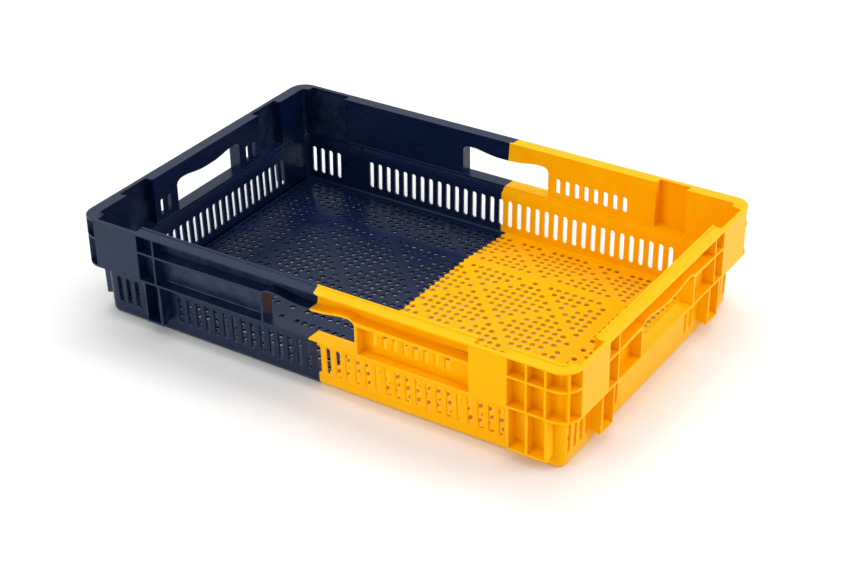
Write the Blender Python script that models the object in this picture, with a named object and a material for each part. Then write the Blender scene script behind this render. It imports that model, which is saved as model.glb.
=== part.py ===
"""Stacking and nesting crate, 600 x 400 mm footprint, moulded in two colours.

Metres. Origin at the centre of the base, +X along the long side towards the
yellow half, +Z up. The crate is a deep ribbed collar over an inset slotted
lower wall, eight feet under the collar, and a floor raised in the middle.
"""

import math

import bmesh
import bpy

# Overall sizes
LENGTH = 0.600
WIDTH = 0.400
HEIGHT = 0.1225
GAP = 0.0003

# Collar: the ribbed band round the top. Its levels are measured down from the rim.
COLLAR_RADIUS = 0.020
COLLAR_DROP = 0.058
MID_RIB_DROP = 0.024
WINDOW_TOP_DROP = 0.0295
WINDOW_BOTTOM_DROP = 0.0485
RIB = 0.0025
SHELL = 0.003
WALL_INSET = 0.0125
FLANGE = 0.0028
NARROW_RIM = 0.0052

# Lower wall: set in under the collar and drafted towards the base
LOWER_STEP = 0.0015
LOWER_SHELL = 0.0025
LOWER_DRAFT = 0.003
LOWER_INNER_RADIUS = 0.0007
BASE_FILLET = 0.008
BASE_TURN_IN = 0.0055
BASE_STEPS = 3
SLOT_WIDTH = 0.0065
SLOT_BOTTOM = 0.0155
SLOT_TOP_MARGIN = 0.014

# Pitch of the slots and windows along the long sides and along the ends
SIDE_PITCH = 0.0121
END_PITCH = 0.0119
FIRST_SLOT_FROM_END = 0.0303
SIDE_WINDOWS = 8

# Hand holes: half their width, and how far the grip over them rises along it
HAND_HALF = 0.0565
GRIP_RISE = ((0.0, 0.0018), (0.014, 0.0024), (0.027, 0.0042), (0.038, 0.0062),
             (0.046, 0.0070), (0.051, 0.0062), (0.0545, 0.0036))

# Feet: near edge and far edge from the corner they stand by, and number of open cells
LEFT_SIDE_FOOT = (0.0795, 0.1025, 1)
RIGHT_SIDE_FOOT = (0.027, 0.071, 2)
LEFT_END_FOOT = (0.026, 0.065, 2)
RIGHT_END_FOOT = (0.069, 0.095, 1)
FOOT_INSET = 0.004
SIDE_FOOT_BOTTOM = 0.013
END_FOOT_BOTTOM = 0.0145
FOOT_PLATE = 0.0028

# Room left on each side of a foot when a turned crate nests in this one
LEFT_SIDE_ROOM = (0.004, 0.0055)
RIGHT_SIDE_ROOM = (0.007, 0.0065)
LEFT_END_ROOM = (0.008, 0.0095)
RIGHT_END_ROOM = (0.003, 0.0065)

# The one upright rib of the left end that has no foot plate under it
LEFT_END_RIB = 0.042

# Floor
FLOOR_PLATE = 0.0025
FLOOR_EDGE_TOP = 0.0063
FLOOR_CENTRE_TOP = 0.0125
FLOOR_CENTRE_X = -0.0045
FLOOR_CREASE_X = 0.200
FLOOR_CREASE_Y = 0.100
FLOOR_FLAT_EDGE = 0.018

# Levels and depths that follow from the sizes above
COLLAR_BOTTOM = HEIGHT - COLLAR_DROP
MID_RIB_BOTTOM = HEIGHT - MID_RIB_DROP
MID_RIB_TOP = MID_RIB_BOTTOM + RIB
WINDOW_BOTTOM = HEIGHT - WINDOW_BOTTOM_DROP
WINDOW_TOP = HEIGHT - WINDOW_TOP_DROP
LOWER_TOP = COLLAR_BOTTOM - GAP
SLOT_TOP = COLLAR_BOTTOM - SLOT_TOP_MARGIN
WALL_BACK = WALL_INSET + SHELL
LOWER_INSET = WALL_INSET + LOWER_STEP
LEDGE_DEPTH = LOWER_INSET + LOWER_SHELL
LOWER_RADIUS = LOWER_DRAFT + BASE_TURN_IN + LOWER_SHELL + LOWER_INNER_RADIUS
COLLAR_LEVELS = (COLLAR_BOTTOM, COLLAR_BOTTOM + RIB, WINDOW_BOTTOM, WINDOW_TOP,
                 MID_RIB_BOTTOM, MID_RIB_TOP, HEIGHT - FLANGE, HEIGHT)
COLLAR_DEPTHS = (0.0, SHELL, NARROW_RIM, WALL_INSET, WALL_BACK, LEDGE_DEPTH)

# The two colours meet midway between the two slots nearest the middle
FIRST_SLOT = -LENGTH / 2 + FIRST_SLOT_FROM_END
COLOUR_SPLIT = FIRST_SLOT + (math.floor(-FIRST_SLOT / SIDE_PITCH) + 0.5) * SIDE_PITCH


def clear_scene():
    for thing in list(bpy.data.objects):
        bpy.data.objects.remove(thing)


def plastic(name, colour):
    material = bpy.data.materials.new(name)
    material.use_nodes = True
    shader = material.node_tree.nodes["Principled BSDF"]
    shader.inputs["Base Color"].default_value = (*colour, 1.0)
    shader.inputs["Roughness"].default_value = 0.38
    shader.inputs["Metallic"].default_value = 0.0
    return material


def sorted_breaks(values):
    """The values in order, with those closer than a tenth of a millimetre made one."""
    kept = []
    for value in sorted(values):
        if not kept or value - kept[-1] > 0.0001:
            kept.append(value)
    return kept


def add_object(name, bm, material):
    mesh = bpy.data.meshes.new(name)
    bmesh.ops.recalc_face_normals(bm, faces=bm.faces)
    bm.to_mesh(mesh)
    bm.free()
    mesh.materials.append(material)
    mesh.shade_smooth()
    mesh.set_sharp_from_angle(angle=math.radians(25))
    made = bpy.data.objects.new(name, mesh)
    bpy.context.scene.collection.objects.link(made)
    return made


def cell_solid(name, breaks, filled, place, material):
    """One closed body from the filled cells of an uneven grid.

    filled takes the middle of a cell; place turns grid coordinates into x, y, z.
    """
    sizes = [len(axis) - 1 for axis in breaks]
    solid = set()
    for i in range(sizes[0]):
        for j in range(sizes[1]):
            for k in range(sizes[2]):
                middle = [(axis[n] + axis[n + 1]) / 2 for axis, n in zip(breaks, (i, j, k))]
                if filled(*middle):
                    solid.add((i, j, k))
    bm = bmesh.new()
    corners = {}

    def corner(i, j, k):
        if (i, j, k) not in corners:
            corners[i, j, k] = bm.verts.new(place(breaks[0][i], breaks[1][j], breaks[2][k]))
        return corners[i, j, k]

    sides = (
        ((1, 0, 0), ((1, 0, 0), (1, 1, 0), (1, 1, 1), (1, 0, 1))),
        ((-1, 0, 0), ((0, 0, 0), (0, 0, 1), (0, 1, 1), (0, 1, 0))),
        ((0, 1, 0), ((0, 1, 0), (0, 1, 1), (1, 1, 1), (1, 1, 0))),
        ((0, -1, 0), ((0, 0, 0), (1, 0, 0), (1, 0, 1), (0, 0, 1))),
        ((0, 0, 1), ((0, 0, 1), (1, 0, 1), (1, 1, 1), (0, 1, 1))),
        ((0, 0, -1), ((0, 0, 0), (0, 1, 0), (1, 1, 0), (1, 0, 0))),
    )
    for i, j, k in sorted(solid):
        for (di, dj, dk), ring in sides:
            if (i + di, j + dj, k + dk) not in solid:
                bm.faces.new([corner(i + a, j + b, k + c) for a, b, c in ring])
    return add_object(name, bm, material)


def within(value, low, high):
    return low < value < high


def in_any(value, spans):
    return any(low < value < high for low, high in spans)


def spans_round(centres, width):
    return [(centre - width / 2, centre + width / 2) for centre in centres]


def edges_of(spans):
    return [edge for span in spans for edge in span]


def mirrored(spans):
    """Spans given for positive values, with their copies on the other side of zero."""
    return list(spans) + [(-high, -low) for low, high in spans]


def run_of(first, pitch, low, high):
    """The members of an evenly pitched run that lie between low and high."""
    start = math.ceil((low - first) / pitch - 1e-6)
    end = math.floor((high - first) / pitch + 1e-6)
    return [first + n * pitch for n in range(start, end + 1)]


def from_left(near, far):
    """A span measured from the left end of the crate, as X."""
    return (near - LENGTH / 2, far - LENGTH / 2)


def from_right(near, far):
    """A span measured from the right end of the crate, as X."""
    return (LENGTH / 2 - far, LENGTH / 2 - near)


def from_side(near, far):
    """A span measured from the long side of the crate, as distance from the middle."""
    return (WIDTH / 2 - far, WIDTH / 2 - near)


def recess_for(nested_foot, room):
    """Span of the flush panel whose recess takes that foot of a turned crate."""
    return (nested_foot[0] - room[0] - SHELL, nested_foot[1] + room[1] + SHELL)


def foot_plates(near, far, cells):
    """The upright plates of a foot, evenly spread over its open cells."""
    pitch = (far - near - FOOT_PLATE) / cells
    return [(near + n * pitch, near + n * pitch + FOOT_PLATE) for n in range(cells + 1)]


def ribs_over(foot_size, panel):
    """The collar has a rib over each foot plate that isn't already under a flush panel."""
    free = [(low, high) for low, high in foot_plates(*foot_size)
            if high < panel[0] - RIB / 2 or low > panel[1] + RIB / 2]
    return spans_round([(low + high) / 2 for low, high in free], RIB)


def side_place(side, half_width):
    """Grid (along, inwards, up) to x, y, z for the long side on -Y or +Y."""
    def place(along, inwards, up):
        return (along, side * (half_width - inwards), up)
    return place


def end_place(end, half_length, half_width, radius):
    """The same for an end wall, carried round its two corners.

    Past the straight part, along runs round the corner arc.
    """
    straight = half_width - radius

    def place(along, inwards, up):
        beyond = max(abs(along) - straight, 0.0)
        angle = min(beyond / radius, math.pi / 2)
        reach = radius - inwards
        x = half_length - radius + reach * math.cos(angle)
        y = straight + reach * math.sin(angle) if beyond else abs(along)
        return (end * x, math.copysign(y, along), up)
    return place


def corner_breaks(half_width, radius, steps):
    straight = half_width - radius
    arc = radius * math.pi / 2
    ends = [straight + arc * n / steps for n in range(steps + 1)]
    return ends + [-value for value in ends]


def grip_lift(along):
    """How far the middle rib is lifted over a hand hole, to make the curved grip."""
    reach = abs(along)
    if reach >= HAND_HALF:
        return 0.0
    points = list(GRIP_RISE) + [(HAND_HALF, 0.0)]
    for (x0, z0), (x1, z1) in zip(points, points[1:]):
        if reach <= x1:
            return z0 + (z1 - z0) * (reach - x0) / (x1 - x0)
    return 0.0


def collar_fill(panels, ribs, windows):
    """Which grid cells of a collar wall are solid."""
    returns = [(low, low + SHELL) for low, high in panels]
    returns += [(high - SHELL, high) for low, high in panels]
    web_top = COLLAR_BOTTOM + RIB
    jambs = [(HAND_HALF, HAND_HALF + SHELL)]

    def filled(along, inwards, up):
        in_panel = in_any(along, panels)
        in_return = in_any(along, returns)
        if up < web_top:
            return inwards < LEDGE_DEPTH
        if inwards > WALL_BACK:
            return False
        if in_return:
            return True
        if up > HEIGHT - FLANGE:
            return inwards < (NARROW_RIM if in_panel else WALL_BACK)
        if in_panel:
            return inwards < SHELL
        if within(along, -HAND_HALF, HAND_HALF) and up < MID_RIB_BOTTOM:
            return False
        if inwards > WALL_INSET:
            return not (in_any(along, windows) and within(up, WINDOW_BOTTOM, WINDOW_TOP))
        if within(up, MID_RIB_BOTTOM, MID_RIB_TOP):
            return True
        if in_any(abs(along), jambs):
            return up < MID_RIB_TOP
        return in_any(along, ribs)
    return filled


def lifted(place):
    """The same placing, with the middle rib raised into a grip over the hand hole."""
    def moved(along, inwards, up):
        x, y, z = place(along, inwards, up)
        if within(up, MID_RIB_BOTTOM - GAP / 2, MID_RIB_TOP + GAP / 2):
            z += grip_lift(along)
        return (x, y, z)
    return moved


def hand_breaks():
    marks = [reach for reach, rise in GRIP_RISE] + [HAND_HALF, HAND_HALF + SHELL]
    return marks + [-mark for mark in marks]


def panel_breaks(panels):
    return edges_of(panels) + [e + s for e, s in zip(edges_of(panels), (SHELL, -SHELL) * len(panels))]


def collar_side(name, side, low, high, panels, ribs, windows, material):
    """Long side of the collar between two stations along X."""
    marks = hand_breaks() + panel_breaks(panels) + edges_of(ribs) + edges_of(windows)
    marks = [mark for mark in marks if low + GAP < mark < high - GAP]
    breaks = (sorted_breaks([low, high] + marks), COLLAR_DEPTHS, COLLAR_LEVELS)
    fill = collar_fill(panels, ribs, windows)
    place = lifted(side_place(side, WIDTH / 2))
    return cell_solid(name, breaks, fill, place, material)


def collar_end(name, end, panel, ribs, windows, material):
    """End of the collar with its two rounded corners, each with one rib in the middle."""
    panels = mirrored([panel])
    straight = WIDTH / 2 - COLLAR_RADIUS
    arc = COLLAR_RADIUS * math.pi / 2
    ribs = mirrored(ribs + spans_round([straight + arc / 2], RIB))
    marks = hand_breaks() + panel_breaks(panels) + edges_of(ribs) + edges_of(windows)
    turn = straight + arc - GAP / 2
    marks += [mark for mark in corner_breaks(WIDTH / 2, COLLAR_RADIUS, 6) if abs(mark) < turn - 0.001]
    breaks = (sorted_breaks([-turn, turn] + marks), COLLAR_DEPTHS, COLLAR_LEVELS)
    fill = collar_fill(panels, ribs, windows)
    place = lifted(end_place(end, LENGTH / 2, WIDTH / 2, COLLAR_RADIUS))
    return cell_solid(name, breaks, fill, place, material)


def base_curve():
    """The rounded foot of the lower wall: heights, and how far in it stands at each."""
    turns = [math.pi / 2 * n / BASE_STEPS for n in range(BASE_STEPS + 1)]
    return [(BASE_FILLET * (1 - math.cos(t)), BASE_TURN_IN * (1 - math.sin(t))) for t in turns]


def lower_inset(up):
    """How far the lower wall stands in from its top edge at this height."""
    curve = base_curve()
    for (z0, d0), (z1, d1) in zip(curve, curve[1:]):
        if up <= z1:
            return LOWER_DRAFT + d0 + (d1 - d0) * (up - z0) / (z1 - z0)
    return LOWER_DRAFT * (LOWER_TOP - up) / (LOWER_TOP - BASE_FILLET)


def drafted(place):
    def moved(along, inwards, up):
        return place(along, inwards + lower_inset(up), up)
    return moved


def slot_fill(slots):
    def filled(along, inwards, up):
        return not (in_any(along, slots) and within(up, SLOT_BOTTOM, SLOT_TOP))
    return filled


def lower_levels():
    return [z for z, inset in base_curve()] + [SLOT_BOTTOM, SLOT_TOP, LOWER_TOP]


def lower_side(name, side, low, high, slots, material):
    half_width = WIDTH / 2 - LOWER_INSET
    inside = [span for span in slots if low < span[0] and span[1] < high]
    breaks = (sorted_breaks([low, high] + edges_of(inside)), (0.0, LOWER_SHELL), lower_levels())
    place = drafted(side_place(side, half_width))
    return cell_solid(name, breaks, slot_fill(inside), place, material)


def lower_end(name, end, slots, material):
    half_length = LENGTH / 2 - LOWER_INSET
    half_width = WIDTH / 2 - LOWER_INSET
    turn = half_width - LOWER_RADIUS + LOWER_RADIUS * math.pi / 2 - GAP / 2
    marks = [mark for mark in corner_breaks(half_width, LOWER_RADIUS, 4) if abs(mark) < turn - 0.001]
    breaks = (sorted_breaks([-turn, turn] + marks + edges_of(slots)), (0.0, LOWER_SHELL), lower_levels())
    place = drafted(end_place(end, half_length, half_width, LOWER_RADIUS))
    return cell_solid(name, breaks, slot_fill(slots), place, material)


def foot(name, plates, bottom, place, material):
    """An open-fronted box under the collar: upright plates joined by a bottom plate."""
    breaks = (sorted_breaks(edges_of(plates)), (0.0, 1.0), (bottom, bottom + RIB, LOWER_TOP))

    def filled(along, inwards, up):
        return up < bottom + RIB or in_any(along, plates)

    def foot_place(along, inwards, up):
        back = LOWER_INSET + lower_inset(up) - GAP
        slant = 0.0015 if up < bottom + RIB / 2 else 0.0
        return place(along, FOOT_INSET + slant if inwards < 0.5 else back, up)
    return cell_solid(name, breaks, filled, foot_place, material)


def floor_height(x, y):
    """Top of the floor: flat in the middle, sloping down all round to a flat edge."""
    inner_x = LENGTH / 2 - LOWER_INSET - LOWER_DRAFT - FLOOR_FLAT_EDGE
    inner_y = WIDTH / 2 - LOWER_INSET - LOWER_DRAFT - FLOOR_FLAT_EDGE
    from_crease = abs(x - FLOOR_CENTRE_X) - FLOOR_CREASE_X
    slope_x = from_crease / (inner_x + math.copysign(FLOOR_CENTRE_X, -x) - FLOOR_CREASE_X)
    slope_y = (abs(y) - FLOOR_CREASE_Y) / (inner_y - FLOOR_CREASE_Y)
    down = min(max(slope_x, slope_y, 0.0), 1.0)
    return FLOOR_CENTRE_TOP + (FLOOR_EDGE_TOP - FLOOR_CENTRE_TOP) * down


def floor(name, low, high, material):
    edge_level = FLOOR_EDGE_TOP - FLOOR_PLATE
    inset = LOWER_INSET + lower_inset(edge_level) + LOWER_SHELL + GAP
    half_x = LENGTH / 2 - inset
    half_y = WIDTH / 2 - inset
    flat_x = LENGTH / 2 - LOWER_INSET - LOWER_DRAFT - FLOOR_FLAT_EDGE
    flat_y = WIDTH / 2 - LOWER_INSET - LOWER_DRAFT - FLOOR_FLAT_EDGE
    xs = [FLOOR_CENTRE_X - FLOOR_CREASE_X, FLOOR_CENTRE_X + FLOOR_CREASE_X, -flat_x, flat_x]
    xs = [max(low, -half_x), min(high, half_x)] + [x for x in xs if low < x < high]
    ys = [-half_y, -flat_y, -FLOOR_CREASE_Y, FLOOR_CREASE_Y, flat_y, half_y]
    chamfer = LOWER_RADIUS / 2

    def filled(along, across, up):
        return True

    def place(along, across, up):
        # Each outer corner is cut back to clear the rounded corner of the wall.
        if abs(along) > half_x - 1e-6 and abs(across) > half_y - 1e-6:
            along = math.copysign(half_x - chamfer, along)
            across = math.copysign(half_y - chamfer / 4, across)
        return (along, across, floor_height(along, across) - FLOOR_PLATE * (1 - up))
    return cell_solid(name, (sorted_breaks(xs), ys, (0.0, 1.0)), filled, place, material)


def side_wall_slots(feet):
    """Slots of the long sides: an even run that leaves out what is behind the feet."""
    left, right = feet
    run = run_of(FIRST_SLOT, SIDE_PITCH, FIRST_SLOT, right[0] - SIDE_PITCH / 2)
    return [x for x in run if not left[0] - SLOT_WIDTH / 2 < x < left[1] + SIDE_PITCH / 2]


def right_end_slots(foot_span):
    """Slots of the right end: none under the hand hole or behind the feet."""
    clear_of_hole = HAND_HALF + END_PITCH
    straight = WIDTH / 2 - LOWER_INSET - LOWER_RADIUS
    run = run_of(END_PITCH / 2, END_PITCH, clear_of_hole, straight - SLOT_WIDTH / 4)
    return [y for y in run if y < foot_span[0] - END_PITCH / 2 or y > foot_span[1]]


def windows_beside_hole(first, pitch, count):
    """The first few windows of a run that clear the upright at the side of the hand hole."""
    nearest = HAND_HALF + SHELL + SLOT_WIDTH / 2
    return run_of(first, pitch, nearest, nearest + pitch * (count - 0.001))


def build():
    clear_scene()
    navy = plastic("navy_plastic", (0.010, 0.022, 0.075))
    yellow = plastic("yellow_plastic", (0.95, 0.50, 0.002))

    left_recess = recess_for(RIGHT_SIDE_FOOT, LEFT_SIDE_ROOM)
    right_recess = recess_for(LEFT_SIDE_FOOT, RIGHT_SIDE_ROOM)
    side_panels = [from_left(*left_recess), from_right(*right_recess)]
    side_ribs = [from_left(*rib) for rib in ribs_over(LEFT_SIDE_FOOT, left_recess)]
    side_ribs += [from_right(*rib) for rib in ribs_over(RIGHT_SIDE_FOOT, right_recess)]
    side_feet = [from_left(*LEFT_SIDE_FOOT[:2]), from_right(*RIGHT_SIDE_FOOT[:2])]
    side_slots = spans_round(side_wall_slots(side_feet), SLOT_WIDTH)
    side_windows = spans_round(windows_beside_hole(FIRST_SLOT, SIDE_PITCH, SIDE_WINDOWS), SLOT_WIDTH)

    straight = WIDTH / 2 - LOWER_INSET - LOWER_RADIUS
    left_foot = from_side(*LEFT_END_FOOT[:2])
    left_slots = spans_round(run_of(0.0, END_PITCH, -left_foot[0], left_foot[0]), SLOT_WIDTH)
    right_slots = mirrored(spans_round(right_end_slots(from_side(*RIGHT_END_FOOT[:2])), SLOT_WIDTH))
    left_end_recess = recess_for(RIGHT_END_FOOT, LEFT_END_ROOM)
    right_end_recess = recess_for(LEFT_END_FOOT, RIGHT_END_ROOM)
    left_windows = mirrored(spans_round(windows_beside_hole(0.0, END_PITCH, 2), SLOT_WIDTH))
    left_ribs = spans_round([WIDTH / 2 - LEFT_END_RIB], RIB)
    right_ribs = [from_side(*rib) for rib in ribs_over(RIGHT_END_FOOT, right_end_recess)]

    split_low = COLOUR_SPLIT - GAP / 2
    split_high = COLOUR_SPLIT + GAP / 2
    collar_straight = LENGTH / 2 - COLLAR_RADIUS - GAP / 2
    lower_straight = LENGTH / 2 - LOWER_INSET - LOWER_RADIUS - GAP / 2
    halves = (
        ("navy", navy, -1, (-collar_straight, split_low), (-lower_straight, split_low),
         (from_left, LEFT_SIDE_FOOT), LEFT_END_FOOT,
         (left_end_recess, left_ribs, left_windows), left_slots),
        ("yellow", yellow, 1, (split_high, collar_straight), (split_high, lower_straight),
         (from_right, RIGHT_SIDE_FOOT), RIGHT_END_FOOT,
         (right_end_recess, right_ribs, []), right_slots),
    )
    for colour, material, end, collar_run, lower_run, side_foot, end_foot, end_parts, end_slots in halves:
        from_end, side_foot_size = side_foot
        side_plates = sorted(from_end(*plate) for plate in foot_plates(*side_foot_size))
        for word, side in (("front", -1), ("back", 1)):
            collar_side(f"{colour}_{word}_collar", side, *collar_run, side_panels, side_ribs,
                        side_windows, material)
            lower_side(f"{colour}_{word}_lower_wall", side, *lower_run, side_slots, material)
            foot(f"{colour}_{word}_side_foot", side_plates, SIDE_FOOT_BOTTOM,
                 side_place(side, WIDTH / 2), material)
        recess, ribs, windows = end_parts
        collar_end(f"{colour}_end_collar", end, from_side(*recess), ribs, windows, material)
        lower_end(f"{colour}_end_lower_wall", end, end_slots, material)
        end_plates = sorted(from_side(*plate) for plate in foot_plates(*end_foot))
        place = end_place(end, LENGTH / 2, WIDTH / 2, COLLAR_RADIUS)
        foot(f"{colour}_back_end_foot", end_plates, END_FOOT_BOTTOM, place, material)
        front_plates = sorted((-high, -low) for low, high in end_plates)
        foot(f"{colour}_front_end_foot", front_plates, END_FOOT_BOTTOM, place, material)
    floor("navy_floor", -LENGTH, split_low, navy)
    floor("yellow_floor", split_high, LENGTH, yellow)


build()
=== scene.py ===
"""Looks of the two-colour stacking crate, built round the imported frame.

Metres. X runs along the long side from the navy end to the yellow end, Y to
the back, Z up, with the crate standing on Z = 0.
"""

import math

import bmesh
import bpy
from mathutils import Matrix, Vector


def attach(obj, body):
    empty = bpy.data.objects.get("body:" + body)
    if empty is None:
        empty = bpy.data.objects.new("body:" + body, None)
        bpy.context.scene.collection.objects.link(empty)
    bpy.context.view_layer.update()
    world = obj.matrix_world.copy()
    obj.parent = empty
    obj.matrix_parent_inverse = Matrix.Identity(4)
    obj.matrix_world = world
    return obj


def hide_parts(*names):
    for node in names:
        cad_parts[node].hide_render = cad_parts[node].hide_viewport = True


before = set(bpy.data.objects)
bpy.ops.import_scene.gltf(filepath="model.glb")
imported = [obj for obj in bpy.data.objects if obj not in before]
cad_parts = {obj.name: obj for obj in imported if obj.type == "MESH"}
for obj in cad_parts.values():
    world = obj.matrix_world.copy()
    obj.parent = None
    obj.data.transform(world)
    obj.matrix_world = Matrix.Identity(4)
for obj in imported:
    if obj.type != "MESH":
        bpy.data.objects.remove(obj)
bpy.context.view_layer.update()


# ---------------------------------------------------------------------------
# Floor of the crate: one plate moulded with each half, pierced all over by
# round drain holes. It is raised and flat in the middle and falls away to a
# narrow level border, and the two colours meet in teeth between the holes.
# ---------------------------------------------------------------------------
CRATE_HALF_X = 0.300
CRATE_HALF_Y = 0.200
HOLE_PITCH = 0.010
HOLE_RADIUS = 0.0031
HOLE_EASE = 0.00025
HOLE_CENTRE_X = -0.0045
HOLE_COLUMNS = 27
HOLE_ROWS = 17
CREASE_COLUMN = 20
CREASE_ROW = 10
DIAGONAL_SPACING = 10
TILE_INNER = 0.9
FLOOR_PLATE = 0.0024
FLOOR_CENTRE_TOP = 0.0125
FLOOR_EDGE_TOP = 0.0063
FLOOR_CREASE_X = 0.200
FLOOR_CREASE_Y = 0.100
FLOOR_FLAT_X = 0.263
FLOOR_FLAT_Y = 0.163
FLOOR_HALF_X = 0.2808
FLOOR_HALF_Y = 0.1808
FLOOR_CORNER = 0.0068
FLOOR_COVE = 0.0022
SEAM_COLUMN = 1
SEAM_TOOTH = 0.0033
SEAM_SHARPNESS = 1.5
SEAM_SHIFT = 0.0012
SEAM_LEAN = 0.0020
NEAR = 1e-5

NAVY = (0.0010, 0.0066, 0.0380)
NAVY_DEEP = (0.0008, 0.0050, 0.0300)
# Paler edge colour of the navy: rubbed wear on the edges, and a painted highlight along them
NAVY_WORN_HIGHLIGHT = (0.028, 0.045, 0.105)
NAVY_SHEEN = (0.52, 0.68, 0.92)
YELLOW = (0.96, 0.445, 0.0)
YELLOW_DEEP = (0.94, 0.430, 0.0)
# Paler edge colour of the yellow: rubbed wear on the edges, and a painted highlight along them
YELLOW_WORN_HIGHLIGHT = (0.98, 0.58, 0.01)
YELLOW_SHEEN = (1.0, 0.74, 0.0)
PLASTIC_IOR = 1.49
FLOW_SCALE = 7.0
PATCH_SCALE = 55.0
SCUFF_SCALE = 38.0
SCUFF_SQUEEZE = 6.0
RIPPLE_SCALE = 90.0
RIPPLE_WEIGHT = 1.6
GRAIN_SCALE = 2600.0
GRAIN_STRENGTH = 0.16
GRAIN_DEPTH = 0.0004
SHADE_SHARP = math.radians(42)


def link(tree, source, target):
    tree.links.new(source, target)


def noise(tree, where, scale, detail, roughness=0.5):
    texture = tree.nodes.new("ShaderNodeTexNoise")
    texture.inputs["Scale"].default_value = scale
    texture.inputs["Detail"].default_value = detail
    texture.inputs["Roughness"].default_value = roughness
    link(tree, where, texture.inputs["Vector"])
    return texture.outputs["Fac"]


def ranged(tree, value, low, high, to_low, to_high):
    spread = tree.nodes.new("ShaderNodeMapRange")
    spread.inputs["From Min"].default_value = low
    spread.inputs["From Max"].default_value = high
    spread.inputs["To Min"].default_value = to_low
    spread.inputs["To Max"].default_value = to_high
    link(tree, value, spread.inputs["Value"])
    return spread.outputs["Result"]


def mixed(tree, amount, first, second):
    mix = tree.nodes.new("ShaderNodeMix")
    mix.data_type = "RGBA"
    for value, socket in ((first, mix.inputs["A"]), (second, mix.inputs["B"])):
        if isinstance(value, tuple):
            socket.default_value = (*value, 1.0)
        else:
            link(tree, value, socket)
    link(tree, amount, mix.inputs["Factor"])
    return mix.outputs["Result"]


def times(tree, first, second):
    product = tree.nodes.new("ShaderNodeMath")
    product.operation = "MULTIPLY"
    link(tree, first, product.inputs[0])
    if isinstance(second, float):
        product.inputs[1].default_value = second
    else:
        link(tree, second, product.inputs[1])
    return product.outputs["Value"]


def moulded_plastic(name, colour, deep, worn_highlight, sheen, gloss, roughness, wear_and_highlight):
    """Satin injection-moulded plastic: fine mould grain, faint flow marks,
    slight scuffing, and edges painted paler, partly as rubbed wear and partly as a painted
    highlight."""
    material = bpy.data.materials.new(name)
    material.use_nodes = True
    tree = material.node_tree
    shader = tree.nodes["Principled BSDF"]
    where = tree.nodes.new("ShaderNodeTexCoord").outputs["Object"]

    flow = ranged(tree, noise(tree, where, FLOW_SCALE, 3.0), 0.3, 0.7, 0.0, 1.0)
    body = mixed(tree, flow, deep, colour)
    # Convex edges, found from pointiness and broken into patches, are painted paler: partly rubbed
    # wear, partly a painted highlight along the edges
    pointy = tree.nodes.new("ShaderNodeNewGeometry").outputs["Pointiness"]
    edge = ranged(tree, pointy, 0.505, 0.56, 0.0, 1.0)
    patchy = ranged(tree, noise(tree, where, PATCH_SCALE, 5.0, 0.65), 0.42, 0.62, 0.15, 1.0)
    rubbed_and_highlit = times(tree, times(tree, edge, patchy), wear_and_highlight)
    link(tree, mixed(tree, rubbed_and_highlit, body, worn_highlight), shader.inputs["Base Color"])

    squeeze = tree.nodes.new("ShaderNodeMapping")
    squeeze.inputs["Scale"].default_value = (1.0, 1.0, SCUFF_SQUEEZE)
    link(tree, where, squeeze.inputs["Vector"])
    scuff = noise(tree, squeeze.outputs["Vector"], SCUFF_SCALE, 6.0, 0.7)
    link(tree, ranged(tree, scuff, 0.35, 0.7, roughness - 0.05, roughness + 0.11),
         shader.inputs["Roughness"])

    grain = noise(tree, where, GRAIN_SCALE, 2.0)
    ripple = noise(tree, where, RIPPLE_SCALE, 2.0)
    both = tree.nodes.new("ShaderNodeMath")
    both.operation = "MULTIPLY_ADD"
    link(tree, ripple, both.inputs[0])
    both.inputs[1].default_value = RIPPLE_WEIGHT
    link(tree, grain, both.inputs[2])
    bump = tree.nodes.new("ShaderNodeBump")
    bump.inputs["Strength"].default_value = GRAIN_STRENGTH
    bump.inputs["Distance"].default_value = GRAIN_DEPTH
    link(tree, both.outputs["Value"], bump.inputs["Height"])
    link(tree, bump.outputs["Normal"], shader.inputs["Normal"])
    shader.inputs["IOR"].default_value = PLASTIC_IOR
    shader.inputs["Specular Tint"].default_value = (*sheen, 1.0)
    shader.inputs["Specular IOR Level"].default_value = gloss
    return material


navy = moulded_plastic("navy_moulded", NAVY, NAVY_DEEP, NAVY_WORN_HIGHLIGHT, NAVY_SHEEN,
                       gloss=0.48, roughness=0.29, wear_and_highlight=0.5)
yellow = moulded_plastic("yellow_moulded", YELLOW, YELLOW_DEEP, YELLOW_WORN_HIGHLIGHT, YELLOW_SHEEN,
                         gloss=0.18, roughness=0.33, wear_and_highlight=0.45)
HALVES = (("navy", navy, -1), ("yellow", yellow, 1))


def finished(name, bm, material, slot, *replaced):
    """A piece of the object from its mesh, with its softened edges shaded smooth."""
    bmesh.ops.recalc_face_normals(bm, faces=bm.faces)
    mesh = bpy.data.meshes.new(name)
    bm.to_mesh(mesh)
    bm.free()
    mesh.materials.append(material)
    mesh.shade_smooth()
    mesh.set_sharp_from_angle(angle=SHADE_SHARP)
    piece = bpy.data.objects.new(name, mesh)
    bpy.context.scene.collection.objects.link(piece)
    even = piece.modifiers.new("even_shading", "WEIGHTED_NORMAL")
    even.keep_sharp = True
    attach(piece, "root")
    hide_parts(*replaced)
    return piece


def has_hole(i, j):
    """The drain holes fill a square pattern, less its crease strips and a few solid spots."""
    if abs(j) == CREASE_ROW and abs(i) < CREASE_COLUMN:
        return False
    if abs(i) == CREASE_COLUMN and abs(j) < CREASE_ROW:
        return False
    return (i + j) % DIAGONAL_SPACING != 0 and (i - j) % DIAGONAL_SPACING != 0


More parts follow.
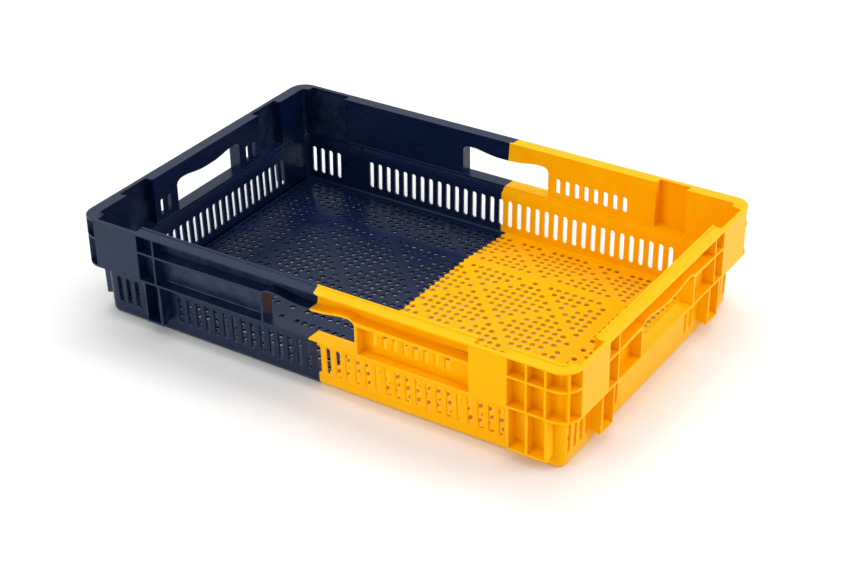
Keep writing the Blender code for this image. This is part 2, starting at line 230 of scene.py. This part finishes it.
def floor_top(x, y):
    """Height of the floor's upper face: level in the middle, falling to a level border."""
    along = (abs(x - HOLE_CENTRE_X) - FLOOR_CREASE_X) / (FLOOR_FLAT_X - FLOOR_CREASE_X)
    across = (abs(y) - FLOOR_CREASE_Y) / (FLOOR_FLAT_Y - FLOOR_CREASE_Y)
    down = min(max(along, across, 0.0), 1.0)
    return FLOOR_CENTRE_TOP + (FLOOR_EDGE_TOP - FLOOR_CENTRE_TOP) * down


def floor_tile(pierced):
    """One square of the floor's upper face, with or without its hole."""
    bm = bmesh.new()
    half = HOLE_PITCH / 2
    bmesh.ops.create_grid(bm, x_segments=4, y_segments=4, size=half)
    if pierced:
        inner = [v for v in bm.verts if max(abs(v.co.x), abs(v.co.y)) < half * TILE_INNER]
        bmesh.ops.delete(bm, geom=inner, context="VERTS")
        bmesh.ops.create_circle(bm, segments=16, radius=HOLE_RADIUS + HOLE_EASE)
        bmesh.ops.bridge_loops(bm, edges=bm.edges)
        rim = [e for e in bm.edges
               if e.is_boundary and e.verts[0].co.length < half * TILE_INNER]
        made = bmesh.ops.extrude_edge_only(bm, edges=rim)["geom"]
        for v in made:
            if isinstance(v, bmesh.types.BMVert):
                v.co *= HOLE_RADIUS / (HOLE_RADIUS + HOLE_EASE)
                v.co.z = -HOLE_EASE
    mesh = bpy.data.meshes.new("tile")
    bm.to_mesh(mesh)
    bm.free()
    return mesh


def build_floor(colour, material, end):
    """Tiles one half, coves its rim, cuts the teeth into its colour line and thickens it."""
    tiles = {True: floor_tile(True), False: floor_tile(False)}
    if end < 0:
        columns = range(-HOLE_COLUMNS, SEAM_COLUMN)
    else:
        columns = range(SEAM_COLUMN, HOLE_COLUMNS + 1)
    bm = bmesh.new()
    for i in columns:
        for j in range(-HOLE_ROWS, HOLE_ROWS + 1):
            before = len(bm.verts)
            bm.from_mesh(tiles[has_hole(i, j)])
            bm.verts.ensure_lookup_table()
            shift = Vector((HOLE_CENTRE_X + i * HOLE_PITCH, j * HOLE_PITCH, 0.0))
            bmesh.ops.translate(bm, verts=bm.verts[before:], vec=shift)
    for mesh in tiles.values():
        bpy.data.meshes.remove(mesh)
    bmesh.ops.remove_doubles(bm, verts=bm.verts, dist=10 * NEAR)
    seam = HOLE_CENTRE_X + (SEAM_COLUMN - 0.5) * HOLE_PITCH
    holes_x = max(abs(HOLE_CENTRE_X + i * HOLE_PITCH) for i in columns) + HOLE_PITCH / 2
    holes_y = (HOLE_ROWS + 0.5) * HOLE_PITCH
    rim = [e for e in bm.edges if e.is_boundary and e.verts[0].co.z > -HOLE_EASE / 2
           and all(v.co.x * end > holes_x - NEAR or abs(v.co.y) > holes_y - NEAR
                   for v in e.verts)]
    cove = ((FLOOR_COVE, 0.0), (FLOOR_COVE * 0.4, FLOOR_COVE * 0.25), (0.0, FLOOR_COVE))
    for back_off, lift in cove:
        made = bmesh.ops.extrude_edge_only(bm, edges=rim)["geom"]
        new = {v for v in made if isinstance(v, bmesh.types.BMVert)}
        rim = [e for e in made if isinstance(e, bmesh.types.BMEdge) and new.issuperset(e.verts)]
        for v in new:
            if v.co.x * end > holes_x - NEAR:
                v.co.x = end * (FLOOR_HALF_X - back_off)
            if abs(v.co.y) > holes_y - NEAR:
                v.co.y = math.copysign(FLOOR_HALF_Y - back_off, v.co.y)
            v.co.z = lift
    for v in bm.verts:
        if abs(v.co.x - seam) < NEAR:
            between = abs(v.co.y / HOLE_PITCH - round(v.co.y / HOLE_PITCH)) * 2
            lean = SEAM_LEAN * max(0.0, v.co.y / FLOOR_HALF_Y)
            v.co.x += SEAM_SHIFT - SEAM_TOOTH * between ** SEAM_SHARPNESS + lean
    plate = bmesh.ops.extrude_face_region(bm, geom=bm.faces[:])["geom"]
    for v in plate:
        if isinstance(v, bmesh.types.BMVert):
            v.co.z = -FLOOR_PLATE
    turn_x, turn_y = FLOOR_HALF_X - FLOOR_CORNER, FLOOR_HALF_Y - FLOOR_CORNER
    for v in bm.verts:
        v.co.z += floor_top(v.co.x, v.co.y)
        out = Vector((abs(v.co.x) - turn_x, abs(v.co.y) - turn_y))
        if min(out) > 0.0 and out.length > FLOOR_CORNER:
            out *= FLOOR_CORNER / out.length
            v.co.x = math.copysign(turn_x + out.x, v.co.x)
            v.co.y = math.copysign(turn_y + out.y, v.co.y)
    finished(f"{colour}_pierced_floor", bm, material, f"{colour}_plastic", f"{colour}_floor")


for half in HALVES:
    build_floor(*half)


# ---------------------------------------------------------------------------
# Lower wall: a thin slotted skirt under the collar, upright, rounded in at
# the base and at its corners. Each half is one moulding that runs round its
# end and along both sides, and is made here as a straight strip of wall
# (along, inwards, up) that is then carried round the corners.
# ---------------------------------------------------------------------------
LOWER_HALF_X = CRATE_HALF_X - 0.014
LOWER_HALF_Y = CRATE_HALF_Y - 0.014
LOWER_RADIUS = 0.0117
LOWER_SHELL = 0.0025
LOWER_TOP = 0.0646
LOWER_FLARE = 0.0500
UPPER_DRAFT = 0.0018
LOWER_DRAFT = 0.0030
BASE_FILLET = 0.008
BASE_LEVELS = (0.0012, 0.0026, 0.0042, 0.006, BASE_FILLET, 0.0117)
FLARE_LEVELS = (LOWER_FLARE + 0.0005, 0.054, 0.058, 0.0615)
BASE_TURN_IN = 0.0055
SLOT_WIDTH = 0.0059
SLOT_BOTTOM = 0.0155
SLOT_TOP = 0.0492
SLOT_ROUND = 0.0029
SIDE_PITCH = 0.0121
FIRST_SLOT = -0.2697
END_PITCH = 0.0119
# Where slots may stand, and where a foot leaves them out: X along the sides, Y along the ends
NAVY_SIDE_SLOTS = (-0.271, 0.012)
BEHIND_NAVY_FOOT = (-0.2235, -0.191)
NAVY_END_SLOTS = (-0.135, 0.135)
YELLOW_SIDE_SLOTS = (-0.012, 0.222)
YELLOW_END_SLOTS = (0.070, 0.173)
BEHIND_YELLOW_FOOT = (0.099, 0.131)
LOWER_SEAM_X = -0.0030
FRONT_SEAM_X = -0.0017
SEAM_STEP = 0.0020
SEAM_STEP_LEVEL = 0.0600
PAST_SEAM = 0.02
SLOT_CUT = (-0.002, 0.005)
FRONT_SHIFT = 0.0024
FRONT_SQUEEZE = 0.9947
EDGE_EASE = 0.00035
CORNER_STEPS = 8
SHARP_ANGLE = math.radians(35)
FLAT_ANGLE = math.radians(0.5)
WELD = 1e-6
ON_PLANE = 1e-7


def block(bm, along, inwards, up, rounding=0.0, steps=4):
    """Adds a cuboid; rounding softens its four edges that run inwards."""
    spans = (along, inwards, up)
    middle = Vector([(low + high) / 2 for low, high in spans])
    size = Vector([high - low for low, high in spans])
    made = bmesh.ops.create_cube(bm, size=1.0, matrix=Matrix.LocRotScale(middle, None, size))
    if rounding:
        edges = {e for v in made["verts"] for e in v.link_edges
                 if abs(e.verts[0].co.y - e.verts[1].co.y) > size.y / 2}
        bmesh.ops.bevel(bm, geom=list(edges), offset=rounding, segments=steps,
                        affect="EDGES", profile=0.5, material=-1)


def cut_away(bm, cutter):
    """Takes the cutter's blocks out of the mesh, and gives the mesh that is left."""
    pair = []
    for name, source in (("body", bm), ("cutter", cutter)):
        bmesh.ops.recalc_face_normals(source, faces=source.faces)
        mesh = bpy.data.meshes.new(name)
        source.to_mesh(mesh)
        source.free()
        pair.append(bpy.data.objects.new(name, mesh))
        bpy.context.scene.collection.objects.link(pair[-1])
    boolean = pair[0].modifiers.new("cut", "BOOLEAN")
    boolean.operation = "DIFFERENCE"
    boolean.solver = "EXACT"
    boolean.object = pair[1]
    graph = bpy.context.evaluated_depsgraph_get()
    result = bmesh.new()
    result.from_mesh(pair[0].evaluated_get(graph).to_mesh())
    for thing in pair:
        mesh = thing.data
        bpy.data.objects.remove(thing)
        bpy.data.meshes.remove(mesh)
    bmesh.ops.remove_doubles(result, verts=result.verts, dist=WELD)
    bmesh.ops.dissolve_limit(result, angle_limit=FLAT_ANGLE, verts=result.verts,
                             edges=result.edges)
    return result


def ease_edges(bm, width):
    """Rounds every sharp edge of the mesh a little."""
    sharp = [e for e in bm.edges if len(e.link_faces) == 2
             and e.calc_face_angle() > SHARP_ANGLE]
    bmesh.ops.bevel(bm, geom=sharp, offset=width, segments=2, affect="EDGES",
                    profile=0.5, material=-1, clamp_overlap=True)


def everything(bm):
    return bm.verts[:] + bm.edges[:] + bm.faces[:]


def slice_at(bm, axis, places):
    """Adds rings of edges across the mesh at these places along one axis."""
    normal = Vector((0.0, 0.0, 0.0))
    normal[axis] = 1.0
    for place in places:
        bmesh.ops.bisect_plane(bm, geom=everything(bm), dist=ON_PLANE,
                               plane_co=normal * place, plane_no=normal)


def trim_ends(bm, reach, seam):
    """Cuts the strip off at both ends, closes it, and moves the cut onto the colour line."""
    for side in (-1, 1):
        cut = bmesh.ops.bisect_plane(bm, geom=everything(bm), dist=ON_PLANE,
                                     plane_co=(side * reach, 0, 0), plane_no=(side, 0, 0),
                                     clear_outer=True)
        edges = [e for e in cut["geom_cut"] if isinstance(e, bmesh.types.BMEdge)]
        bmesh.ops.holes_fill(bm, edges=edges, sides=0)
        for v in [v for v in cut["geom_cut"] if isinstance(v, bmesh.types.BMVert)]:
            v.co.x = side * seam(side, v.co.y, v.co.z)


def carry_round(bm, end, half_x, half_y, radius):
    """Bends the straight strip round the end of the crate and along its two sides."""
    straight = half_y - radius
    arc = radius * math.pi / 2
    for v in bm.verts:
        along, inwards, up = v.co
        side = math.copysign(1.0, along)
        beyond = abs(along) - straight
        if beyond <= 0.0:
            x, y = half_x - inwards, along
        elif beyond < arc:
            x = half_x - radius + (radius - inwards) * math.cos(beyond / radius)
            y = side * (straight + (radius - inwards) * math.sin(beyond / radius))
        else:
            x, y = half_x - radius - (beyond - arc), side * (half_y - inwards)
        v.co = (end * x, y, up)


def strip_reach(end, half_x, half_y, radius):
    """Turns a place along X on the long side into the distance along the strip."""
    whole = half_y - radius + radius * math.pi / 2 + half_x - radius
    return lambda x: whole - end * x


def corner_stations(half_y, radius):
    """Places along the strip where it has to bend round the two corners."""
    straight = half_y - radius
    arc = radius * math.pi / 2
    places = [straight + arc * n / CORNER_STEPS for n in range(CORNER_STEPS + 1)]
    return [-place for place in places] + places


def lower_inset(up):
    """How far the skirt stands in from its top edge at this height."""
    if up < BASE_FILLET:
        turn = (BASE_FILLET - up) / BASE_FILLET
        return LOWER_DRAFT + BASE_TURN_IN * (1.0 - math.sqrt(max(0.0, 1.0 - turn ** 2)))
    if up < LOWER_FLARE:
        below = (LOWER_FLARE - up) / (LOWER_FLARE - BASE_FILLET)
        return UPPER_DRAFT + (LOWER_DRAFT - UPPER_DRAFT) * below
    rise = (up - LOWER_FLARE) / (LOWER_TOP - LOWER_FLARE)
    return UPPER_DRAFT * (1.0 - rise * rise)


def run(first, pitch, between):
    """The places of an even pattern that fall between two limits."""
    low, high = between
    start = math.ceil((low - first) / pitch)
    stop = math.floor((high - first) / pitch)
    return [first + pitch * n for n in range(start, stop + 1)]


def outside(places, span):
    return [place for place in places if not span[0] < place < span[1]]


def lower_slots(end):
    """Middles of the slots along the strip, away from what stands behind the feet."""
    reach = strip_reach(end, LOWER_HALF_X, LOWER_HALF_Y, LOWER_RADIUS)
    if end < 0:
        sides = outside(run(FIRST_SLOT, SIDE_PITCH, NAVY_SIDE_SLOTS), BEHIND_NAVY_FOOT)
        ends = run(0.0, END_PITCH, NAVY_END_SLOTS)
    else:
        sides = run(FIRST_SLOT, SIDE_PITCH, YELLOW_SIDE_SLOTS)
        beside = outside(run(END_PITCH / 2, END_PITCH, YELLOW_END_SLOTS), BEHIND_YELLOW_FOOT)
        ends = beside + [-y for y in beside]
    backs = [reach(x) for x in sides]
    fronts = [-reach(x * FRONT_SQUEEZE + FRONT_SHIFT) for x in sides]
    return ends + backs + fronts


def lower_seam(reach, side, up):
    """Where the colour line crosses the skirt: it steps over just under the collar."""
    line = FRONT_SEAM_X if side < 0 else LOWER_SEAM_X
    return reach(line + (SEAM_STEP if up > SEAM_STEP_LEVEL else 0.0))


def build_lower_wall(colour, material, end):
    reach = strip_reach(end, LOWER_HALF_X, LOWER_HALF_Y, LOWER_RADIUS)
    length = reach(-end * PAST_SEAM)
    bm = bmesh.new()
    block(bm, (-length, length), (0.0, LOWER_SHELL), (0.0, LOWER_TOP))
    cutter = bmesh.new()
    for place in lower_slots(end):
        block(cutter, (place - SLOT_WIDTH / 2, place + SLOT_WIDTH / 2), SLOT_CUT,
              (SLOT_BOTTOM, SLOT_TOP), SLOT_ROUND)
    bm = cut_away(bm, cutter)
    ease_edges(bm, EDGE_EASE)
    slice_at(bm, 0, corner_stations(LOWER_HALF_Y, LOWER_RADIUS))
    slice_at(bm, 2, BASE_LEVELS + FLARE_LEVELS)
    trim_ends(bm, reach(LOWER_SEAM_X),
              lambda side, inwards, up: lower_seam(reach, side, up))
    for v in bm.verts:
        v.co.y += lower_inset(v.co.z)
    carry_round(bm, end, LOWER_HALF_X, LOWER_HALF_Y, LOWER_RADIUS)
    finished(f"{colour}_slotted_skirt", bm, material, f"{colour}_plastic",
             f"{colour}_front_lower_wall", f"{colour}_back_lower_wall", f"{colour}_end_lower_wall")


for half in HALVES:
    build_lower_wall(*half)


# ---------------------------------------------------------------------------
# Feet: eight open-fronted boxes under the collar, each of upright plates on
# a sole, moulded with the skirt behind them. They stand on the rim of the
# crate below, or drop into its recesses when it is turned round.
# ---------------------------------------------------------------------------
FOOT_FACE = 0.0033
SIDE_FOOT_SOLE = 0.0121
END_FOOT_SOLE = 0.0145
FOOT_SOLE_PLATE = 0.0034
FOOT_SOLE_SLANT = 0.0016
FOOT_SOLE_RISE = 0.0045
FOOT_WALL = 0.0032
FOOT_BACK = 0.0175
FOOT_EASE = 0.0005
FOOT_CUT_PAST = 0.004
OVER_TOP = 0.01
# Reach of each foot along its wall: X along the sides, distance from the middle on the ends
NAVY_SIDE_FOOT = (-0.2205, -0.1975)
YELLOW_SIDE_FOOT = (0.2275, 0.2728)
NAVY_END_FOOT = (0.135, 0.174)
YELLOW_END_FOOT = (0.105, 0.131)


def build_foot(name, material, slot, span, cells, sole, place):
    """span runs along the wall; place turns (along, inwards, up) into x, y, z."""
    low, high = span
    bm = bmesh.new()
    block(bm, span, (FOOT_FACE, FOOT_BACK), (sole, LOWER_TOP))
    cutter = bmesh.new()
    pitch = (high - low - FOOT_WALL) / cells
    for n in range(cells):
        block(cutter, (low + n * pitch + FOOT_WALL, low + (n + 1) * pitch),
              (FOOT_FACE - FOOT_CUT_PAST, FOOT_BACK + FOOT_CUT_PAST),
              (sole + FOOT_SOLE_PLATE, LOWER_TOP + OVER_TOP))
    bm = cut_away(bm, cutter)
    ease_edges(bm, FOOT_EASE)
    over_sole = FOOT_SOLE_PLATE + 2 * FOOT_EASE
    for v in bm.verts:
        if v.co.z < sole + over_sole:
            if v.co.y < FOOT_FACE + 2 * FOOT_EASE:
                v.co.y += FOOT_SOLE_SLANT * (1.0 - (v.co.z - sole) / over_sole)
            v.co.z += FOOT_SOLE_RISE * (v.co.y - FOOT_FACE) / (FOOT_BACK - FOOT_FACE)
        v.co = place(*v.co)
    return finished(name, bm, material, slot, name.replace("foot_box", "foot"))


def along_side(side):
    return lambda along, inwards, up: (along, side * (CRATE_HALF_Y - inwards), up)


def along_end(end, side):
    return lambda along, inwards, up: (end * (CRATE_HALF_X - inwards), side * along, up)


for word, side in (("front", -1), ("back", 1)):
    build_foot(f"navy_{word}_side_foot_box", navy, "navy_plastic", NAVY_SIDE_FOOT, 1,
               SIDE_FOOT_SOLE, along_side(side))
    build_foot(f"yellow_{word}_side_foot_box", yellow, "yellow_plastic", YELLOW_SIDE_FOOT, 2,
               SIDE_FOOT_SOLE, along_side(side))
    build_foot(f"navy_{word}_end_foot_box", navy, "navy_plastic", NAVY_END_FOOT, 2,
               END_FOOT_SOLE, along_end(-1, side))
    build_foot(f"yellow_{word}_end_foot_box", yellow, "yellow_plastic", YELLOW_END_FOOT, 1,
               END_FOOT_SOLE, along_end(1, side))


# ---------------------------------------------------------------------------
# Collar: the deep band round the top, moulded with the skirt. A sill, a
# middle rib and a flat rim stand out from a thin wall, tied by upright ribs.
# Flush panels hide the recesses that take the feet of a turned crate, and
# the middle rib swells into a hand grip over each of the four hand holes.
# ---------------------------------------------------------------------------
COLLAR_RADIUS = 0.020
COLLAR_BOTTOM = 0.0645
COLLAR_TOP = 0.1225
RIM_BEAD = 0.0131
RIM_BEAD_HEIGHT = 0.0009
COLLAR_LEDGE = 0.0165
COLLAR_WALL = 0.0125
COLLAR_BACK = 0.0155
COLLAR_EASE = 0.0005
COLLAR_PAST_SEAM = 0.03
COLLAR_CUT_PAST = 0.005
INNER_PAST = 0.03
CREASE_FILLET = 0.0014
FILLET_STEPS = 3
SILL_TOP = 0.067
MID_RIB = (0.0985, 0.101)
RIM_UNDER = 0.1197
PANEL_SKIN = 0.003
PANEL_RIM = 0.0052
RIB_WIDTH = 0.0025
JAMB = 0.003
HAND_HALF = 0.0565
HAND_CLEAR = 0.018
GRIP_STATIONS = [0.005 * n for n in range(2, 10)] + [0.0485, 0.051, 0.053, 0.0545, 0.0556]
WINDOW = (0.074, 0.093)
WINDOW_ROUND = SLOT_ROUND - 0.0006
WINDOW_CUT_PAST = 0.004
NAVY_END_WINDOWS = (6, 7)
YELLOW_SIDE_WINDOWS = range(28, 36)
# Flush panels and upright ribs: distance from the middle on the ends, X along the sides
NAVY_END_PANEL = (0.0925, 0.142)
NAVY_SIDE_PANEL = (-0.280, -0.2205)
NAVY_END_RIB = 0.158
NAVY_SIDE_RIB = -0.1989
YELLOW_END_PANEL = (0.1255, 0.180)
YELLOW_SIDE_PANEL = (0.2305, 0.188)
YELLOW_END_RIB = 0.1064
YELLOW_SIDE_RIBS = (0.2716, 0.251)
NARROWEST_BAY = 0.001
PAST_END = 0.01
UNDER_RIM = 0.001
RIB_MARGIN = 0.001
GRIP_CREST = 0.046
GRIP_MID = 0.0010
GRIP_RISE = 0.0047
GRIP_POWER = 3
COLLAR_SEAM_X = 0.0026
# Height, then the place of the colour line on the outside and on the inside
FRONT_LINE = ((0.1225, 0.0066, 0.0036), (0.1197, 0.0138, 0.0044), (0.101, 0.0030, 0.0038),
              (0.0985, 0.0040, 0.0038), (0.067, 0.0002, 0.0010), (0.0645, -0.0006, 0.0004))
BACK_LINE = ((0.1225, 0.0090, 0.0056), (0.1197, 0.0125, 0.0098), (0.110, 0.0060, 0.0060),
             (0.101, 0.0042, 0.0046), (0.0985, 0.0042, 0.0042), (0.067, 0.0022, 0.0008),
             (0.0645, 0.0010, 0.0000))


def grip_lift(x):
    """How far the middle rib is lifted at this distance from the middle of a hand hole."""
    reach = abs(x)
    if reach >= HAND_HALF:
        return 0.0
    if reach > GRIP_CREST:
        fall = (reach - GRIP_CREST) / (HAND_HALF - GRIP_CREST)
        return (GRIP_MID + GRIP_RISE) * math.sqrt(1.0 - fall * fall)
    return GRIP_MID + GRIP_RISE * math.sin(math.pi / 2 * reach / GRIP_CREST) ** GRIP_POWER


def colour_line(side, inwards, up):
    """Place along X of the colour line, which leans between the outside and the inside."""
    rows = FRONT_LINE if side < 0 else BACK_LINE
    inner = min(max(inwards / COLLAR_BACK, 0.0), 1.0)
    for (z1, out1, in1), (z0, out0, in0) in zip(rows, rows[1:]):
        if up >= z0 or z0 == rows[-1][0]:
            t = min(max((up - z0) / (z1 - z0), 0.0), 1.0)
            outer, inside = out0 + (out1 - out0) * t, in0 + (in1 - in0) * t
            return outer + (inside - outer) * inner


def collar_layout(end):
    """Flush panels, ribs and windows of one half, as spans or middles along the strip."""
    reach = strip_reach(end, CRATE_HALF_X, CRATE_HALF_Y, COLLAR_RADIUS)
    corner_rib = CRATE_HALF_Y - COLLAR_RADIUS + COLLAR_RADIUS * math.pi / 4
    if end < 0:
        panels = [NAVY_END_PANEL, tuple(reach(x) for x in NAVY_SIDE_PANEL)]
        ribs = [NAVY_END_RIB, corner_rib, reach(NAVY_SIDE_RIB)]
        windows = [END_PITCH * n for n in NAVY_END_WINDOWS]
    else:
        panels = [YELLOW_END_PANEL, tuple(reach(x) for x in YELLOW_SIDE_PANEL)]
        ribs = [YELLOW_END_RIB, corner_rib] + [reach(x) for x in YELLOW_SIDE_RIBS]
        windows = [reach(FIRST_SLOT + SIDE_PITCH * n) for n in YELLOW_SIDE_WINDOWS]
    jambs = [(HAND_HALF, HAND_HALF + JAMB),
             (reach(end * (HAND_HALF + JAMB)), reach(end * HAND_HALF))]
    return reach, panels, ribs, windows, jambs


def gaps_between(solid):
    solid = sorted(solid)
    return [(low, high) for (start, low), (high, stop) in zip(solid, solid[1:])
            if high - low > NARROWEST_BAY]


def both_ways(spans):
    return spans + [(-high, -low) for low, high in spans]


def cut_bays(bm, end, layout, length):
    """Opens the outer bays, the hand holes and the hollows behind the flush panels."""
    reach, panels, ribs, windows, jambs = layout
    upright = panels + [(rib - RIB_WIDTH / 2, rib + RIB_WIDTH / 2) for rib in ribs]
    first, last = min(upright)[0], max(upright)[1]
    past_end = length + PAST_END
    cutter = bmesh.new()
    for bay in both_ways(gaps_between(upright + jambs)):
        block(cutter, bay, (-COLLAR_CUT_PAST, COLLAR_WALL), (SILL_TOP, MID_RIB[0]))
    for hole in [(-HAND_HALF, HAND_HALF)] + both_ways([(reach(end * HAND_HALF), past_end)]):
        block(cutter, hole, (-COLLAR_CUT_PAST, INNER_PAST), (SILL_TOP, MID_RIB[0]))
    for bay in [(-first, first)] + both_ways(gaps_between(upright) + [(last, past_end)]):
        block(cutter, bay, (-COLLAR_CUT_PAST, COLLAR_WALL), (MID_RIB[1], RIM_UNDER))
    for low, high in both_ways(panels):
        block(cutter, (low + JAMB, high - JAMB), (PANEL_SKIN, INNER_PAST), (SILL_TOP, RIM_UNDER))
    return cut_away(bm, cutter)


def cut_windows(bm, end, panels, windows):
    """Opens the rim over the hollow panels, and the windows beside the hand holes."""
    cutter = bmesh.new()
    for low, high in both_ways(panels):
        block(cutter, (low + JAMB, high - JAMB), (PANEL_RIM, INNER_PAST),
              (RIM_UNDER - UNDER_RIM, COLLAR_TOP + OVER_TOP))
    shift = FRONT_SHIFT if end > 0 else 0.0
    for middle in windows + [shift - place for place in windows]:
        block(cutter, (middle - SLOT_WIDTH / 2, middle + SLOT_WIDTH / 2),
              (COLLAR_WALL - WINDOW_CUT_PAST, INNER_PAST), WINDOW, WINDOW_ROUND)
    return cut_away(bm, cutter)


def fillet_creases(bm):
    """Rounds the inner corner where the thin wall meets the ledges outside it."""
    ledges = (SILL_TOP, MID_RIB[1])
    creases = [e for e in bm.edges
               if all(abs(v.co.y - COLLAR_WALL) < NEAR
                      and min(abs(v.co.z - ledge) for ledge in ledges) < NEAR for v in e.verts)]
    bmesh.ops.bevel(bm, geom=creases, offset=CREASE_FILLET, segments=FILLET_STEPS, affect="EDGES",
                    profile=0.5, material=-1, clamp_overlap=True)


def slice_grips(bm, end, reach):
    """Adds the edges that the grips over the hand holes need to swell smoothly."""
    for place in GRIP_STATIONS:
        marks = [place, -place]
        if place > HAND_CLEAR or end < 0:
            marks += [reach(end * place), -reach(end * place)]
        slice_at(bm, 0, marks)
    slice_at(bm, 0, [0.0])


def build_collar(colour, material, end):
    layout = reach, panels, ribs, windows, jambs = collar_layout(end)
    length = reach(-end * COLLAR_PAST_SEAM)
    whole = (-length - PAST_END, length + PAST_END)
    over = COLLAR_TOP + OVER_TOP
    bm = bmesh.new()
    block(bm, (-length, length), (0.0, COLLAR_LEDGE), (COLLAR_BOTTOM, COLLAR_TOP))
    cutter = bmesh.new()
    block(cutter, whole, (COLLAR_BACK, INNER_PAST), (SILL_TOP, over))
    block(cutter, whole, (-COLLAR_CUT_PAST, RIM_BEAD), (COLLAR_TOP - RIM_BEAD_HEIGHT, over))
    bm = cut_away(bm, cutter)
    bm = cut_bays(bm, end, layout, length)
    bm = cut_windows(bm, end, panels, windows)
    fillet_creases(bm)
    ease_edges(bm, COLLAR_EASE)
    slice_at(bm, 0, corner_stations(CRATE_HALF_Y, COLLAR_RADIUS))
    slice_grips(bm, end, reach)
    trim_ends(bm, reach(COLLAR_SEAM_X),
              lambda side, inwards, up: reach(colour_line(side, inwards, up)))
    for v in bm.verts:
        if MID_RIB[0] - RIB_MARGIN < v.co.z < MID_RIB[1] + RIB_MARGIN:
            from_end, along = abs(v.co.x), end * (reach(0.0) - abs(v.co.x))
            v.co.z += grip_lift(from_end if from_end < HAND_HALF else along)
    carry_round(bm, end, CRATE_HALF_X, CRATE_HALF_Y, COLLAR_RADIUS)
    finished(f"{colour}_ribbed_band", bm, material, f"{colour}_plastic",
             f"{colour}_front_collar", f"{colour}_back_collar", f"{colour}_end_collar")


for half in HALVES:
    build_collar(*half)


# ---------------------------------------------------------------------------
# Studio: a plain pale floor, a large soft light overhead, softer fill from
# the front and the right, and the camera.
# ---------------------------------------------------------------------------
PAPER = (0.87, 0.87, 0.87, 1.0)
PAPER_HALF = 12.0
PAPER_ROUGHNESS = 0.9
SKY_STRENGTH = 0.75
# Name, place, width and height, and power of each light; all face the crate
LIGHTS = (
    ("overhead", (-0.5, 1.0, 2.4), (2.6, 0.6), 24.0),
    ("above", (0.2, -0.4, 2.6), (2.4, 1.6), 14.0),
    ("right", (2.2, 0.8, 1.4), (1.8, 1.4), 23.0),
    ("front", (-1.4, -2.6, 0.95), (1.5, 1.0), 21.0),
)


def stage_floor():
    bm = bmesh.new()
    bmesh.ops.create_grid(bm, x_segments=1, y_segments=1, size=PAPER_HALF)
    mesh = bpy.data.meshes.new("studio_floor")
    bm.to_mesh(mesh)
    bm.free()
    material = bpy.data.materials.new("studio_paper")
    material.use_nodes = True
    shader = material.node_tree.nodes["Principled BSDF"]
    shader.inputs["Base Color"].default_value = PAPER
    shader.inputs["Roughness"].default_value = PAPER_ROUGHNESS
    mesh.materials.append(material)
    ground = bpy.data.objects.new("studio_floor", mesh)
    bpy.context.scene.collection.objects.link(ground)


def soft_light(name, place, size, power):
    lamp = bpy.data.lights.new(name, "AREA")
    lamp.shape = "RECTANGLE"
    lamp.size, lamp.size_y = size
    lamp.energy = power
    holder = bpy.data.objects.new(name, lamp)
    holder.location = place
    holder.rotation_euler = (-Vector(place)).to_track_quat("-Z", "Y").to_euler()
    bpy.context.scene.collection.objects.link(holder)


stage_floor()
for light in LIGHTS:
    soft_light(*light)

world = bpy.data.worlds.new("studio")
world.use_nodes = True
sky = world.node_tree.nodes["Background"]
sky.inputs["Color"].default_value = (1.0, 1.0, 1.0, 1.0)
sky.inputs["Strength"].default_value = SKY_STRENGTH
bpy.context.scene.world = world
bpy.context.scene.view_settings.view_transform = "Standard"

CAMERA_AZIMUTH = math.radians(33.4532)
CAMERA_ELEVATION = math.radians(30.6142)
CAMERA_ROLL = math.radians(-1.0752)
CAMERA_DISTANCE = 1.9426
CAMERA_LENS = 77.9
CAMERA_SENSOR = 36.0
CAMERA_TARGET = Vector((0.0367, -0.0420, 0.0613))
back = Vector((math.cos(CAMERA_ELEVATION) * math.sin(CAMERA_AZIMUTH),
               -math.cos(CAMERA_ELEVATION) * math.cos(CAMERA_AZIMUTH),
               math.sin(CAMERA_ELEVATION)))
right = Vector((0.0, 0.0, 1.0)).cross(back).normalized()
above = back.cross(right)
turned_right = right * math.cos(CAMERA_ROLL) + above * math.sin(CAMERA_ROLL)
turned_up = above * math.cos(CAMERA_ROLL) - right * math.sin(CAMERA_ROLL)
lens = bpy.data.cameras.new("camera")
lens.lens = CAMERA_LENS
lens.sensor_width = CAMERA_SENSOR
camera = bpy.data.objects.new("camera", lens)
camera.matrix_world = Matrix((turned_right, turned_up, back)).transposed().to_4x4()
camera.matrix_world.translation = CAMERA_TARGET + back * CAMERA_DISTANCE
bpy.context.scene.collection.objects.link(camera)
bpy.context.scene.camera = camera
